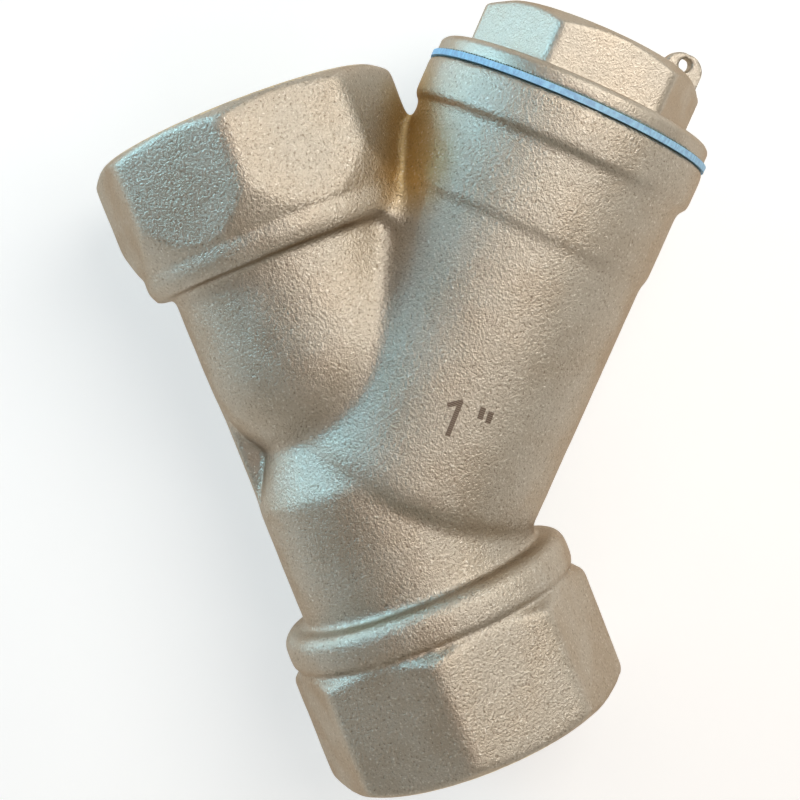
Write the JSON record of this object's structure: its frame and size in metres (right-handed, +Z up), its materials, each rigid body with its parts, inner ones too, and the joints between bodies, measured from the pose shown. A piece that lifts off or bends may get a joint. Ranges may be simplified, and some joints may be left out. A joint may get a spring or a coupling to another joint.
{
  "type": "y strainer",
  "caption": "Forged brass Y-pattern pipe strainer with threaded octagonal ends, a slanted branch, a hexagonal screw cap and a removable mesh screen.",
  "frame": {"origin": "centre of the inlet port at its end face", "axes": "+X along the pipe in the direction of flow, the branch leaves between +X and -Y, +Z up, square to the plane of both axes, with the part lying on its side"},
  "size_m": [0.0915, 0.0817, 0.0428],
  "materials": {
    "forged_brass": "shot-blasted satin, pale champagne tone",
    "turned_brass": "shot-blasted satin, pale champagne tone",
    "gasket": "smooth light blue",
    "perforated_steel": "mill finish stainless sheet",
    "woven_mesh": "plain weave stainless wire",
    "collar_steel": "pressed stainless sheet"
  },
  "bodies": {
    "valve_body": {"strainer_body": "forged_brass"},
    "screen": {"screen_tube": "perforated_steel", "mesh_sleeve": "woven_mesh", "upper_collar": "collar_steel", "lower_collar": "collar_steel"},
    "gasket": {"cap_gasket": "gasket"},
    "screw_cap": {"cap": "turned_brass"}
  },
  "joints": [
    {"name": "screen_withdraw", "type": "slide", "parent": "valve_body", "child": "screen", "axis": [0.7071, -0.7071, 0], "range_m": [0, 0.055]},
    {"name": "cap_advance", "type": "slide", "parent": "screen", "child": "gasket", "axis": [0.7071, -0.7071, 0], "range_m": [0, 0.0092]},
    {"name": "cap_turn", "type": "hinge", "parent": "gasket", "child": "screw_cap", "pos_m": [0.0332, 0, 0], "axis": [0.7071, -0.7071, 0], "range_deg": [0, 2160]}
  ],
  "couplings": [
    {"joint": "cap_advance", "follows": "cap_turn", "m_per_rad": 0.00023873}
  ]
}
